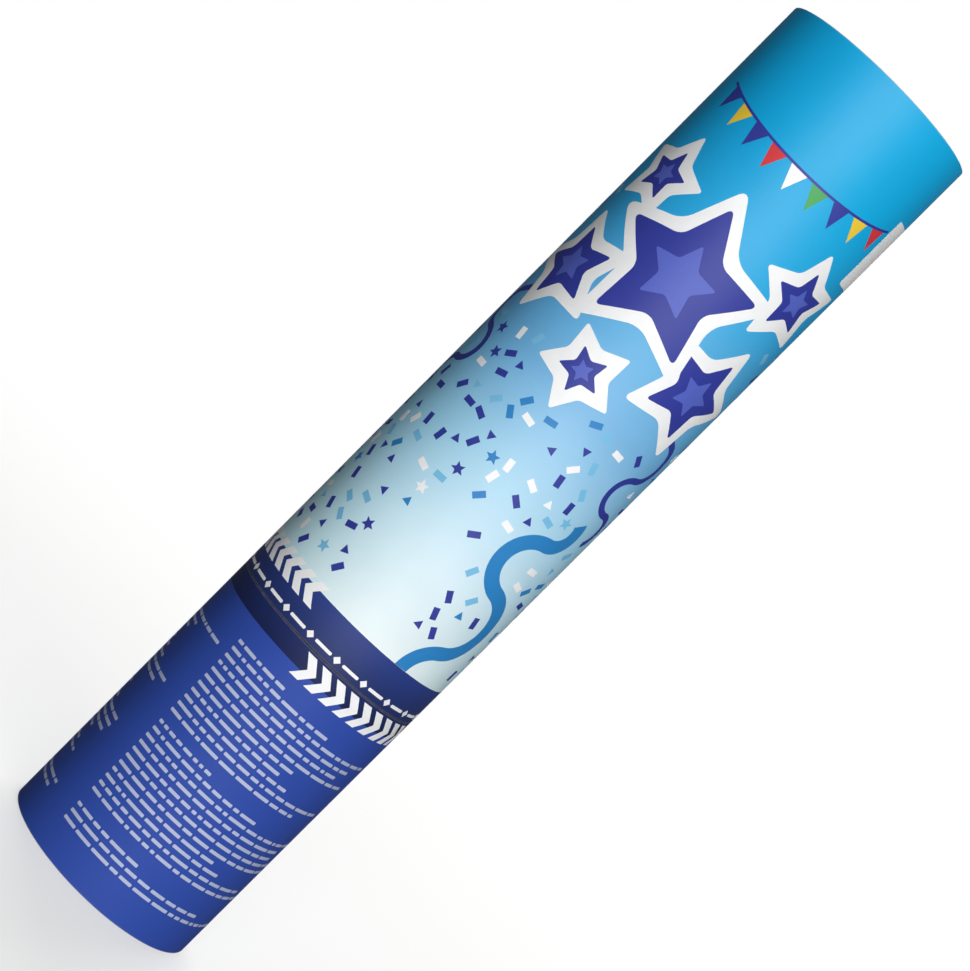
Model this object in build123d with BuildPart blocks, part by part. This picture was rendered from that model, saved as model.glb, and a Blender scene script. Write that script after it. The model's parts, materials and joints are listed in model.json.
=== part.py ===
from build123d import *
import os
from math import cos, degrees, radians, sin, sqrt

# A hand-held confetti popper, fired by twisting its barrel on its handle.
# The handle holds a bottle of compressed air. A plug closes the bottle's mouth, and a cross pin
# through the plug sits in two helical slots of the bottle's head. The barrel carries the pin round in
# straight slots, so a twist screws the plug up and out of its seat. The air then drives the wad and the
# confetti out of the muzzle.
# Millimetres, +Z towards the muzzle, origin at the centre of the rim that the popper stands on.

# Whole popper
overall_length = 240.0
seam_height = 72.0
seam_gap = 0.4
tube_diameter = 50.0
tube_wall = 2.0
label_thickness = 0.25
label_setback = 0.1

# Fits and clearances
glue_line = 0.05
running_clearance = 0.3
thrust_play = 0.1
bore_clearance = 0.2
pin_fit = 0.02
slot_clearance = 0.25
cut_overrun = 1.0

# Base plug
base_recess = 3.0
base_wall = 1.6
base_corner = 1.2
base_rib_height = 5.0
base_rib_thickness = 1.6
base_rib_count = 6
base_rib_eye = 8.0

# Air tank and its packing
tank_wall = 1.6
tank_foot_bevel = 4.0
tank_foot_width = 2.5
tank_punt = 7.0
tank_shoulder_rise = 12.0
tank_shoulder_bevel = 5.0
packing_length = 14.0
packing_setback = 1.0

# Filling valve
valve_bore = 2.4
valve_shank_diameter = 7.0
valve_flange_diameter = 12.0
valve_flange_thickness = 1.2
valve_washer_thickness = 1.0
valve_shank_rise = 7.0
valve_sleeve_wall = 1.0
valve_room = 4.0

# Collar of the barrel and slip washers
collar_wall = 1.2
collar_web = 2.5
slip_washer_thickness = 0.8

# Tank head with the plug's seat and the cam
seat_diameter = 14.0
seat_wall = 2.6
seat_length = 8.0
seat_lead_in = 0.8
spigot_clearance = 0.15
head_wall = 3.6
head_grip = 9.0
head_plate = 3.0
gasket_thickness = 1.2
cam_step = 1.8
cam_wall = 2.6
cam_floor = 2.5
cam_top_ring = 2.4
cam_lead = 14.4
twist_range = 100.0
cam_slot_count = 2

# Release plug, cross pin and square-cut sealing ring
plug_clearance = 0.15
plug_tail = 2.5
plug_crown = 2.2
plug_edge = 0.6
pin_diameter = 3.5
pin_setback = 0.5
pin_edge = 0.4
seal_ring_section = 2.0
seal_ring_touch = 0.05
groove_side_room = 0.3
release_margin = 1.0

# Drive cap
drive_wall = 2.4
drive_plate = 3.0
drive_headroom = 0.5
drive_spigot_wall = 1.2
drive_spigot_length = 4.0
drive_window_count = 4
drive_window_span = 62.0
drive_window_margin = 0.5

# Charge, seal and cap
wad_card_thickness = 1.5
wad_foam_thickness = 8.0
wad_play = 0.1
bundle_gap = 0.3
bundle_wall_clearance = 0.4
bundle_corner_angle = 27.5
bundle_layers = 2
charge_headroom = 0.5
seal_thickness = 0.6
seal_gap = 0.6
seal_tab_length = 15.0
seal_tab_width = 10.0
seal_tab_thickness = 0.3
seal_tab_margin = 1.5
cap_depth = 9.0
cap_wall = 0.8
cap_corner = 2.0
cap_setback = 0.4

# Radii of the shell, worked inwards from the tube
tube_radius = tube_diameter / 2
bore_radius = tube_radius - tube_wall
label_inner_radius = tube_radius + glue_line
label_radius = tube_radius + label_thickness
insert_radius = bore_radius - glue_line
slide_radius = bore_radius - bore_clearance
collar_bore_radius = insert_radius - collar_wall
tank_radius = collar_bore_radius - running_clearance
drive_spigot_radius = collar_bore_radius - glue_line

# Radii of the release, worked outwards from the plug's seat
seat_radius = seat_diameter / 2
plug_radius = seat_radius - plug_clearance
spigot_radius = seat_radius + seat_wall
neck_bore_radius = spigot_radius + spigot_clearance
neck_radius = neck_bore_radius + tank_wall
socket_radius = neck_radius + glue_line
head_radius = socket_radius + head_wall
cam_bore_radius = seat_radius + cam_step
cam_radius = cam_bore_radius + cam_wall
cam_middle_radius = (cam_bore_radius + cam_radius) / 2
drive_bore_radius = cam_radius + running_clearance
drive_radius = drive_bore_radius + drive_wall
pin_radius = pin_diameter / 2
valve_shank_radius = valve_shank_diameter / 2
valve_flange_radius = valve_flange_diameter / 2

# Heights, worked upwards from the rim
handle_top = seam_height - seam_gap / 2
barrel_bottom = seam_height + seam_gap / 2
base_floor_top = base_recess + base_wall
tank_bottom = base_floor_top + base_rib_height
punt_underside = tank_bottom + tank_punt
tank_floor_top = punt_underside + tank_wall
tank_shoulder = seam_height + tank_shoulder_rise
web_bottom = tank_shoulder + slip_washer_thickness + thrust_play
web_top = web_bottom + collar_web
head_bottom = web_top + thrust_play + slip_washer_thickness
neck_top = head_bottom + head_grip
plate_bottom = neck_top + gasket_thickness
head_top = plate_bottom + head_plate
seat_bottom = plate_bottom - seat_length
slot_width = pin_diameter + 2 * slot_clearance
cam_lift = cam_lead * twist_range / 360
pin_height = head_top + cam_floor + slot_width / 2
cam_top = pin_height + cam_lift + slot_width / 2 + cam_top_ring
drive_bottom = cam_top + drive_headroom
drive_top = drive_bottom + drive_plate
wad_bottom = drive_top + wad_play
wad_foam_bottom = wad_bottom + wad_card_thickness
charge_bottom = wad_foam_bottom + wad_foam_thickness
cap_top = overall_length - cap_setback
cap_bottom = cap_top - cap_depth
seal_top = cap_bottom - seal_gap
seal_bottom = seal_top - seal_thickness


def make_ring(low, high, inner_radius, outer_radius):
    with BuildPart() as ring:
        with BuildSketch(Plane.XY.offset(low)):
            Circle(outer_radius)
            Circle(inner_radius, mode=Mode.SUBTRACT)
        extrude(amount=high - low)
    return ring


def make_disc(low, high, radius):
    with BuildPart() as disc:
        with BuildSketch(Plane.XY.offset(low)):
            Circle(radius)
        extrude(amount=high - low)
    return disc


# Card tubes and the printed paper round them
handle_tube = make_ring(0, handle_top, bore_radius, tube_radius)
handle_label = make_ring(label_setback, handle_top - label_setback, label_inner_radius, label_radius)
barrel_tube = make_ring(barrel_bottom, overall_length, bore_radius, tube_radius)
barrel_label = make_ring(
    barrel_bottom + label_setback, overall_length - label_setback, label_inner_radius, label_radius
)

# Base plug: a cup that opens upwards, with ribs that the tank stands on
base_rib_outer = insert_radius - base_wall / 2
base_rib_length = base_rib_outer - base_rib_eye
with BuildPart() as base_plug:
    with BuildSketch(Plane.XY.offset(base_recess)):
        Circle(insert_radius)
    extrude(amount=base_wall + base_rib_height)
    chamfer(base_plug.faces().sort_by(Axis.Z)[0].edges(), length=base_corner)
    offset(amount=-base_wall, openings=base_plug.faces().sort_by(Axis.Z)[-1])
    with BuildSketch(Plane.XY.offset(base_floor_top)):
        with PolarLocations(base_rib_eye + base_rib_length / 2, base_rib_count):
            Rectangle(base_rib_length, base_rib_thickness)
    extrude(amount=base_rib_height)

# Air tank: a bottle with a pushed-up floor, a bevelled shoulder and an open neck
punt_radius = valve_flange_radius + valve_room
foot_inner_radius = tank_radius - tank_foot_bevel - tank_foot_width
with BuildPart() as air_tank:
    with BuildSketch(Plane.XZ):
        with BuildLine():
            Polyline(
                (0, punt_underside),
                (punt_radius, punt_underside),
                (foot_inner_radius, tank_bottom),
                (tank_radius - tank_foot_bevel, tank_bottom),
                (tank_radius, tank_bottom + tank_foot_bevel),
                (tank_radius, tank_shoulder - tank_shoulder_bevel),
                (tank_radius - tank_shoulder_bevel, tank_shoulder),
                (neck_radius, tank_shoulder),
                (neck_radius, neck_top),
                (0, neck_top),
                close=True,
            )
        make_face()
    revolve(axis=Axis.Z)
    offset(amount=-tank_wall, openings=air_tank.faces().sort_by(Axis.Z)[-1], kind=Kind.INTERSECTION)
    with BuildSketch(Plane.XY.offset(punt_underside)):
        Circle(valve_shank_radius + pin_fit)
    extrude(amount=tank_wall + cut_overrun, both=True, mode=Mode.SUBTRACT)

# Card rings that hold the tank in the handle tube
packing_inner_radius = tank_radius + glue_line
lower_packing_bottom = tank_bottom + tank_foot_bevel
upper_packing_top = handle_top - packing_setback
lower_packing_ring = make_ring(
    lower_packing_bottom, lower_packing_bottom + packing_length, packing_inner_radius, insert_radius
)
upper_packing_ring = make_ring(
    upper_packing_top - packing_length, upper_packing_top, packing_inner_radius, insert_radius
)

# Filling valve in the tank's floor: a flanged bush, its washer and a rubber sleeve that closes its end
valve_washer_bottom = punt_underside - valve_washer_thickness
valve_flange_bottom = valve_washer_bottom - valve_flange_thickness
valve_top = tank_floor_top + valve_shank_rise
with BuildPart() as fill_valve_body:
    with BuildSketch(Plane.XY.offset(valve_flange_bottom)):
        Circle(valve_flange_radius)
    extrude(amount=valve_flange_thickness)
    with BuildSketch(Plane.XY.offset(valve_washer_bottom)):
        Circle(valve_shank_radius)
    extrude(amount=valve_top - valve_washer_bottom)
    with BuildSketch(Plane.XY.offset(valve_flange_bottom)):
        Circle(valve_bore / 2)
    extrude(amount=valve_top - valve_flange_bottom, mode=Mode.SUBTRACT)
fill_valve_washer = make_ring(
    valve_washer_bottom, punt_underside, valve_shank_radius + pin_fit, valve_flange_radius
)
with BuildPart() as fill_valve_sleeve:
    with BuildSketch(Plane.XY.offset(tank_floor_top)):
        Circle(valve_shank_radius + valve_sleeve_wall)
    extrude(amount=valve_shank_rise + valve_sleeve_wall)
    with BuildSketch(Plane.XY.offset(tank_floor_top)):
        Circle(valve_shank_radius + pin_fit)
    extrude(amount=valve_shank_rise, mode=Mode.SUBTRACT)

# Collar glued into the barrel: its skirt turns on the tank, and its web is trapped under the tank head
with BuildPart() as barrel_collar:
    with BuildSketch(Plane.XY.offset(barrel_bottom)):
        Circle(insert_radius)
        Circle(collar_bore_radius, mode=Mode.SUBTRACT)
    extrude(amount=drive_bottom - barrel_bottom)
    with BuildSketch(Plane.XY.offset(web_bottom)):
        Circle(insert_radius)
        Circle(neck_radius + running_clearance, mode=Mode.SUBTRACT)
    extrude(amount=collar_web)

# Slip washers under and over the web
washer_bore_radius = neck_radius + glue_line
lower_slip_washer = make_ring(
    tank_shoulder,
    tank_shoulder + slip_washer_thickness,
    washer_bore_radius,
    head_radius,
)
upper_slip_washer = make_ring(
    head_bottom - slip_washer_thickness, head_bottom, washer_bore_radius, head_radius
)

# One helical cam slot, as wide as the cross pin needs, with room for the pin at both ends
slot_end_room = degrees((pin_radius + slot_clearance) / cam_middle_radius)
slot_turn = twist_range + 2 * slot_end_room
slot_start = pin_height - cam_lead * slot_end_room / 360
with BuildPart() as cam_slot:
    with BuildLine() as slot_path:
        Helix(
            pitch=cam_lead,
            height=cam_lead * slot_turn / 360,
            radius=cam_middle_radius,
            center=(0, 0, slot_start),
            lefthand=True,
        )
    with BuildSketch(Plane(slot_path.line @ 0, x_dir=(1, 0, 0), z_dir=slot_path.line % 0)):
        Rectangle(cam_wall + 2 * cut_overrun, slot_width)
    sweep(path=slot_path.line, is_frenet=True)

# Tank head: socket over the neck, spigot with the plug's seat, and the cam sleeve with its slots
with BuildPart() as tank_head:
    with BuildSketch(Plane.XZ):
        with BuildLine():
            Polyline(
                (seat_radius, seat_bottom),
                (spigot_radius, seat_bottom),
                (spigot_radius, plate_bottom),
                (socket_radius, plate_bottom),
                (socket_radius, head_bottom),
                (head_radius, head_bottom),
                (head_radius, head_top),
                (cam_radius, head_top),
                (cam_radius, cam_top),
                (cam_bore_radius, cam_top),
                (cam_bore_radius, head_top),
                (seat_radius + seat_lead_in, head_top),
                (seat_radius, head_top - seat_lead_in),
                close=True,
            )
        make_face()
    revolve(axis=Axis.Z)
    with PolarLocations(0, cam_slot_count, start_angle=slot_end_room):
        add(cam_slot.part, mode=Mode.SUBTRACT)

head_gasket = make_ring(neck_top, plate_bottom, neck_bore_radius, neck_radius)

# Release plug: the sealing ring leaves the seat before the pin reaches the end of its slots
seal_ring_bottom = head_top + release_margin - cam_lift
seal_ring_top = seal_ring_bottom + seal_ring_section
seal_ring_radius = seat_radius - seal_ring_touch
seal_ring_bore_radius = seal_ring_radius - seal_ring_section
groove_radius = seal_ring_bore_radius - seal_ring_touch
groove_bottom = seal_ring_bottom - groove_side_room
groove_top = seal_ring_top + groove_side_room
plug_bottom = groove_bottom - plug_tail
plug_top = pin_height + pin_radius + plug_crown
with BuildPart() as release_plug:
    with BuildSketch(Plane.XZ):
        with BuildLine():
            Polyline(
                (0, plug_bottom),
                (plug_radius - plug_edge, plug_bottom),
                (plug_radius, plug_bottom + plug_edge),
                (plug_radius, groove_bottom),
                (groove_radius, groove_bottom),
                (groove_radius, groove_top),
                (plug_radius, groove_top),
                (plug_radius, plug_top - plug_edge),
                (plug_radius - plug_edge, plug_top),
                (0, plug_top),
                close=True,
            )
        make_face()
    revolve(axis=Axis.Z)
    with BuildSketch(Plane.YZ):
        with Locations((0, pin_height)):
            Circle(pin_radius + pin_fit)
    extrude(amount=plug_radius + cut_overrun, both=True, mode=Mode.SUBTRACT)

plug_seal_ring = make_ring(seal_ring_bottom, seal_ring_top, seal_ring_bore_radius, seal_ring_radius)

with BuildPart() as cam_pin:
    with BuildSketch(Plane.YZ):
        with Locations((0, pin_height)):
            Circle(pin_radius)
    extrude(amount=drive_radius - pin_setback, both=True)
    chamfer(cam_pin.edges().filter_by(GeomType.CIRCLE), length=pin_edge)

# Drive cap: a plate on the collar with air windows, and a sleeve whose straight slots carry the pin round
drive_sleeve_bottom = head_top + running_clearance
drive_slot_top = pin_height + cam_lift + slot_width / 2
window_inner_radius = drive_radius + drive_window_margin
window_outer_radius = drive_spigot_radius - drive_spigot_wall - drive_window_margin
with BuildPart() as drive_cap:
    with BuildSketch(Plane.XZ):
        with BuildLine():
            Polyline(
                (drive_bore_radius, drive_sleeve_bottom),
                (drive_radius, drive_sleeve_bottom),
                (drive_radius, drive_bottom),
                (drive_spigot_radius - drive_spigot_wall, drive_bottom),
                (drive_spigot_radius - drive_spigot_wall, drive_bottom - drive_spigot_length),
                (drive_spigot_radius, drive_bottom - drive_spigot_length),
                (drive_spigot_radius, drive_bottom),
                (insert_radius, drive_bottom),
                (insert_radius, drive_top),
                (cam_bore_radius, drive_top),
                (cam_bore_radius, drive_bottom),
                (drive_bore_radius, drive_bottom),
                close=True,
            )
        make_face()
    revolve(axis=Axis.Z)
    with BuildSketch(Plane.XY.offset(drive_sleeve_bottom)):
        Rectangle(2 * (drive_radius + cut_overrun), slot_width)
    extrude(amount=drive_slot_top - drive_sleeve_bottom, mode=Mode.SUBTRACT)
    for window in range(drive_window_count):
        window_start = window * 360 / drive_window_count - drive_window_span / 2
        with BuildSketch(Plane.XY.offset(drive_bottom)):
            with BuildLine():
                inner_arc = CenterArc((0, 0), window_inner_radius, window_start, drive_window_span)
                outer_arc = CenterArc((0, 0), window_outer_radius, window_start, drive_window_span)
                Line(inner_arc @ 0, outer_arc @ 0)
                Line(inner_arc @ 1, outer_arc @ 1)
            make_face()
        extrude(amount=drive_plate, mode=Mode.SUBTRACT)

# Wad: a card disc and a foam disc
wad_card = make_disc(wad_bottom, wad_foam_bottom, slide_radius)
wad_foam = make_disc(wad_foam_bottom, charge_bottom, slide_radius)

# Confetti slips stand upright in bundles: a block of four, with one more on each of its long sides
charge_radius = bore_radius - bundle_wall_clearance
slip_length = (seal_bottom - charge_headroom - charge_bottom) / bundle_layers - bundle_gap
slip_width = charge_radius * cos(radians(bundle_corner_angle)) - bundle_gap / 2
block_depth = charge_radius * sin(radians(bundle_corner_angle)) - bundle_gap / 2
side_inner = block_depth + 3 * bundle_gap / 2
side_outer = sqrt(charge_radius**2 - (slip_width / 2) ** 2)
with BuildPart() as confetti_bundles:
    for layer in range(bundle_layers):
        layer_bottom = charge_bottom + layer * (slip_length + bundle_gap)
        with BuildSketch(Plane.XY.offset(layer_bottom).rotated((0, 0, 90 * layer))):
            with GridLocations(slip_width + bundle_gap, block_depth + bundle_gap, 2, 2):
                Rectangle(slip_width, block_depth)
            with GridLocations(0, side_inner + side_outer, 1, 2):
                Rectangle(slip_width, side_outer - side_inner)
        extrude(amount=slip_length)

# Gold seal: a foil-faced disc with its peel tab folded flat on top
with BuildPart() as gold_seal:
    with BuildSketch(Plane.XY.offset(seal_bottom)):
        Circle(slide_radius)
    extrude(amount=seal_thickness)
    with BuildSketch(Plane.XY.offset(seal_top)):
        with Locations((0, seal_tab_margin + seal_tab_length / 2 - slide_radius)):
            SlotOverall(seal_tab_length, seal_tab_width, rotation=90)
    extrude(amount=seal_tab_thickness)

# Muzzle cap: a thin clear cup pressed into the barrel, open upwards
with BuildPart() as muzzle_cap:
    with BuildSketch(Plane.XY.offset(cap_bottom)):
        Circle(slide_radius)
    extrude(amount=cap_depth)
    fillet(muzzle_cap.faces().sort_by(Axis.Z)[0].edges(), radius=cap_corner)
    offset(amount=-cap_wall, openings=muzzle_cap.faces().sort_by(Axis.Z)[-1])

pieces = {
    "handle_tube": handle_tube,
    "handle_label": handle_label,
    "base_plug": base_plug,
    "lower_packing_ring": lower_packing_ring,
    "upper_packing_ring": upper_packing_ring,
    "air_tank": air_tank,
    "fill_valve_body": fill_valve_body,
    "fill_valve_washer": fill_valve_washer,
    "fill_valve_sleeve": fill_valve_sleeve,
    "lower_slip_washer": lower_slip_washer,
    "upper_slip_washer": upper_slip_washer,
    "tank_head": tank_head,
    "head_gasket": head_gasket,
    "barrel_tube": barrel_tube,
    "barrel_label": barrel_label,
    "barrel_collar": barrel_collar,
    "drive_cap": drive_cap,
    "release_plug": release_plug,
    "plug_seal_ring": plug_seal_ring,
    "cam_pin": cam_pin,
    "wad_card": wad_card,
    "wad_foam": wad_foam,
    "confetti_bundles": confetti_bundles,
    "gold_seal": gold_seal,
    "muzzle_cap": muzzle_cap,
}
os.makedirs("parts", exist_ok=True)
for name, piece in pieces.items():
    piece.part.label = name
    export_step(piece.part, f"parts/{name}.step")
print("pin lift", round(cam_lift, 3), "slip", round(slip_width, 2), round(slip_length, 2))
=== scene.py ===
import json
import math
import random

import bmesh
import bpy
from mathutils import Matrix, Vector


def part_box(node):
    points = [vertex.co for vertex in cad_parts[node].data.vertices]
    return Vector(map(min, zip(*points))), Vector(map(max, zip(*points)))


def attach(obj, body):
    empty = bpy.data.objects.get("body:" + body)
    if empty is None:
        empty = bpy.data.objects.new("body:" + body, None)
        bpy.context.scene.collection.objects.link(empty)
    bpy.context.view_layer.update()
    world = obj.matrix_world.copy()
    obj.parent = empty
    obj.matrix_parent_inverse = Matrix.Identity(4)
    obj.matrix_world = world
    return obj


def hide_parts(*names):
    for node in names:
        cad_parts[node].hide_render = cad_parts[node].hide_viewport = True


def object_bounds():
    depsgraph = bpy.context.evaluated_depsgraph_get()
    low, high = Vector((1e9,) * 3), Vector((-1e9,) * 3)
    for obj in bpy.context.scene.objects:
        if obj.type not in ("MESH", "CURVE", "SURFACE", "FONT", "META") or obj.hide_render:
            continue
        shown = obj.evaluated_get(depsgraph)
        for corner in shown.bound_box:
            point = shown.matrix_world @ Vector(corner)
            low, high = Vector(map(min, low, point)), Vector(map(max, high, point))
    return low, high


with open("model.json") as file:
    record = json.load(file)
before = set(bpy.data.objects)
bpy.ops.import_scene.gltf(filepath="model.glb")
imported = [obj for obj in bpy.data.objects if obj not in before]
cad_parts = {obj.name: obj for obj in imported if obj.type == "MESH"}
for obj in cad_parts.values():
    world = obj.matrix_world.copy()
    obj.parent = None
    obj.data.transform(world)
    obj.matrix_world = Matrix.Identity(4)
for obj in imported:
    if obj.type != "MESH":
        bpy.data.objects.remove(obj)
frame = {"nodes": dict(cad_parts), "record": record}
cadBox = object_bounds()
print("frame loaded,", len(frame["nodes"]), "solids")

mm = 0.001  # pieces are drawn in millimetres and scaled once, when they are finished
weld = 0.0005  # points closer than this are merged
nearly = 0.00001  # a point this close to a cut lies on it
fullTurn = 2 * math.pi


def nodeSpan(node):
    low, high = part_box(node)
    return [round(size / mm, 3) for size in (low.z, high.z, high.x)]  # foot, top and radius of a round solid


def linearColour(hexCode):
    parts = [int(hexCode[i:i + 2], 16) / 255 for i in (1, 3, 5)]
    return tuple(p / 12.92 if p <= 0.04045 else ((p + 0.055) / 1.055) ** 2.4 for p in parts) + (1.0,)


def perMm(size):
    return 1 / (size * mm)  # texture scale for features of this many millimetres


# Settings are a node's own properties or its input sockets, and links lead to sockets.
# A colour Mix has its factor at 0, its two colours at 6 and 7, and its result at output 2.
def addNode(owner, kind, settings=(), links=()):
    tree = owner.node_tree
    node = tree.nodes.new("ShaderNode" + kind)
    for key, value in dict(settings).items():
        if isinstance(key, str) and hasattr(node, key):
            setattr(node, key, value)
        else:
            node.inputs[key].default_value = value
    for key, source in dict(links).items():
        tree.links.new(source.outputs[0] if isinstance(source, bpy.types.Node) else source, node.inputs[key])
    return node


def newMaterial(name):
    material = bpy.data.materials.new(name)
    material.use_nodes = True
    material.node_tree.nodes.clear()
    return material, addNode(material, "TexCoord").outputs["Object"]  # patterns stay put on a moving piece


# A colour that a pattern turns darker and paler.
def unevenTone(material, hexCode, pattern, dark, pale):
    level = addNode(material, "MapRange", {"To Min": dark, "To Max": pale}, {"Value": pattern})
    return addNode(material, "HueSaturation", {"Color": linearColour(hexCode)}, {"Value": level})


# Coated paper, litho printed: an even colour under a satin coat, with a broad weak shine. Its fine tooth is
# drawn coarser than the real one, so that it shows. The wound card comes through as one faint helical line.
paperCoat = {"ior": 1.47, "shine": 0.38, "roughness": {"To Min": 0.46, "To Max": 0.56}, "tooth": 0.5,
             "toothShare": 0.25, "bump": 0.22, "relief": 0.03, "mottle": 9.0, "uneven": 0.035,
             "plyPitch": 78.0, "plyLine": 0.985, "scuff": 1.6, "scuffReach": 0.3, "scuffMost": 0.2,
             "bareColour": "#E9E7E0"}


def printedPaper(design):
    material, place = newMaterial(design["paper"])
    low, high, stops = design["low"], design["high"], design["stops"]
    axes = addNode(material, "SeparateXYZ", links={"Vector": place})
    up = axes.outputs["Z"]
    first, last = stops[0][0], stops[-1][0]
    share = addNode(material, "MapRange", {"From Min": first * mm, "From Max": last * mm}, {"Value": up})
    field = addNode(material, "ValToRGB", links={"Fac": share})
    elements = field.color_ramp.elements
    while len(elements) < len(stops):
        elements.new(0.5)
    for element, (height, hexCode) in zip(elements, stops):
        element.position, element.color = (height - first) / (last - first), linearColour(hexCode)
    # painted cool shade: the paper is tinted bluer as it turns away from its lit middle, which lies right of
    # the front and again on the back
    turn = addNode(material, "Math", {"operation": "ARCTAN2"}, {0: axes.outputs["X"], 1: axes.outputs["Y"]})
    twice = addNode(material, "Math",
                    {"operation": "MULTIPLY_ADD", 1: 2.0, 2: 2 * math.radians(design["leastShadeAt"])}, {0: turn})
    swing = addNode(material, "Math", {"operation": "COSINE"}, {0: twice})
    away = addNode(material, "MapRange", {"From Min": 1.0, "From Max": -1.0}, {"Value": swing})
    paintedShade = addNode(material, "Mix",
                   {"data_type": "RGBA", "blend_type": "MULTIPLY", 7: linearColour(design["bluer"])},
                   {0: away, 6: field})
    # the arrow band has a clean edge, which a colour ramp would blur
    (foot, footColour), (top, topColour) = design["band"]
    share = addNode(material, "MapRange", {"From Min": foot * mm, "From Max": top * mm}, {"Value": up})
    band = addNode(material, "Mix",
                   {"data_type": "RGBA", 6: linearColour(footColour), 7: linearColour(topColour)}, {0: share})
    inBand = addNode(material, "Math",
                     {"operation": "COMPARE", 1: (foot + top) / 2 * mm, 2: (top - foot) / 2 * mm}, {0: up})
    tint = addNode(material, "Mix", {"data_type": "RGBA"},
                   {0: inBand, 6: paintedShade.outputs[2], 7: band.outputs[2]})
    mottle = addNode(material, "TexNoise", {"Scale": perMm(paperCoat["mottle"]), "Detail": 3.0},
                     {"Vector": place})
    level = addNode(material, "MapRange",
                    {"To Min": 1 - paperCoat["uneven"], "To Max": 1 + paperCoat["uneven"]}, {"Value": mottle})
    tone = addNode(material, "HueSaturation", links={"Color": tint.outputs[2], "Value": level})
    # rubbed paper shows along the two cut edges
    reach, most = paperCoat["scuffReach"], paperCoat["scuffMost"]
    scuff = addNode(material, "TexNoise", {"Scale": perMm(paperCoat["scuff"]), "Detail": 4.0},
                    {"Vector": place})
    fromLow = addNode(material, "MapRange", {"From Min": low * mm, "From Max": (low + reach) * mm,
                                             "To Min": most, "To Max": 0.0}, {"Value": up})
    fromHigh = addNode(material, "MapRange", {"From Min": (high - reach) * mm, "From Max": high * mm,
                                              "To Min": 0.0, "To Max": most}, {"Value": up})
    edge = addNode(material, "Math", {"operation": "MAXIMUM"}, {0: fromLow, 1: fromHigh})
    bare = addNode(material, "Math", {"operation": "MULTIPLY", "use_clamp": True}, {0: edge, 1: scuff})
    colour = addNode(material, "Mix", {"data_type": "RGBA", 7: linearColour(paperCoat["bareColour"])},
                     {0: bare, 6: tone})
    # helical line of the wound card, from the turn about the axis and the height
    turnPerMetre = fullTurn * perMm(paperCoat["plyPitch"])
    helix = addNode(material, "Math", {"operation": "MULTIPLY_ADD", 1: turnPerMetre}, {0: up, 2: turn})
    wave = addNode(material, "Math", {"operation": "SINE"}, {0: helix})
    line = addNode(material, "MapRange", {"From Min": paperCoat["plyLine"], "From Max": 1.0}, {"Value": wave})
    tooth = addNode(material, "TexNoise", {"Scale": perMm(paperCoat["tooth"]), "Detail": 2.0},
                    {"Vector": place})
    relief = addNode(material, "Math", {"operation": "MULTIPLY_ADD", 1: paperCoat["toothShare"]},
                     {0: tooth, 2: line})
    bump = addNode(material, "Bump", {"Strength": paperCoat["bump"], "Distance": paperCoat["relief"] * mm},
                   {"Height": relief})
    rough = addNode(material, "MapRange", paperCoat["roughness"], {"Value": tooth})
    coat = addNode(material, "BsdfPrincipled",
                   {"IOR": paperCoat["ior"], "Specular IOR Level": design["shineShare"] * paperCoat["shine"]},
                   {"Base Color": colour.outputs[2], "Roughness": rough, "Normal": bump})
    addNode(material, "OutputMaterial", links={"Surface": coat})
    return material


# Litho ink: a thin flat film, very slightly uneven, with the paper's own shine.
inkFilm = {"mottle": 2.5, "uneven": 0.05, "edgeUneven": 0.08, "bump": 0.05, "relief": 0.02,
           "colours": {"white": "#FBFCFD", "indigo": "#333D9C", "lightIndigo": "#5666C4",
                       "midBlue": "#2E86C9", "sky": "#7CC3EA", "paleWhite": "#B9C2DD", "red": "#D63A3F",
                       "yellow": "#F2CE3C", "green": "#49A85A"}}


def lithoInk(name, hexCode, uneven):
    material, place = newMaterial(name)
    mottle = addNode(material, "TexNoise", {"Scale": perMm(inkFilm["mottle"]), "Detail": 3.0},
                     {"Vector": place})
    tone = unevenTone(material, hexCode, mottle, 1 - uneven, 1 + uneven)
    tooth = addNode(material, "TexNoise", {"Scale": perMm(paperCoat["tooth"]), "Detail": 2.0},
                    {"Vector": place})
    bump = addNode(material, "Bump", {"Strength": inkFilm["bump"], "Distance": inkFilm["relief"] * mm},
                   {"Height": tooth})
    rough = addNode(material, "MapRange", paperCoat["roughness"], {"Value": tooth})
    film = addNode(material, "BsdfPrincipled",
                   {"IOR": paperCoat["ior"], "Specular IOR Level": paperCoat["shine"]},
                   {"Base Color": tone, "Roughness": rough, "Normal": bump})
    addNode(material, "OutputMaterial", links={"Surface": film})
    return material


inks = {name: lithoInk("lithoInk" + name[0].upper() + name[1:], hexCode, inkFilm["uneven"])
        for name, hexCode in inkFilm["colours"].items()}
inks["cutEdge"] = lithoInk("cutPaperEdge", paperCoat["bareColour"], inkFilm["edgeUneven"])  # bare paper

# Spiral-wound grey board: dull, fibrous and speckled, with thin dark lines between the plies on a cut end.
# The fibres are drawn coarser than real ones.
board = {"colour": "#A08C72", "ply": 0.5, "glueLine": 0.0625, "glueLevel": 0.72, "fibre": 1.4, "dark": 0.82,
         "pale": 1.14, "relief": 0.08}
greyBoard, place = newMaterial("spiralWoundBoard")
axes = addNode(greyBoard, "SeparateXYZ", links={"Vector": place})
flat = addNode(greyBoard, "CombineXYZ", links={"X": axes.outputs["X"], "Y": axes.outputs["Y"]})
radius = addNode(greyBoard, "VectorMath", {"operation": "LENGTH"}, {0: flat}).outputs["Value"]
plies = addNode(greyBoard, "Math", {"operation": "PINGPONG", 1: board["ply"] / 2 * mm}, {0: radius})
glue = addNode(greyBoard, "MapRange", {"From Max": board["glueLine"] * mm, "To Min": board["glueLevel"]},
               {"Value": plies})
fibre = addNode(greyBoard, "TexNoise", {"Scale": perMm(board["fibre"]), "Detail": 6.0, "Distortion": 1.2},
                {"Vector": place})
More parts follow.
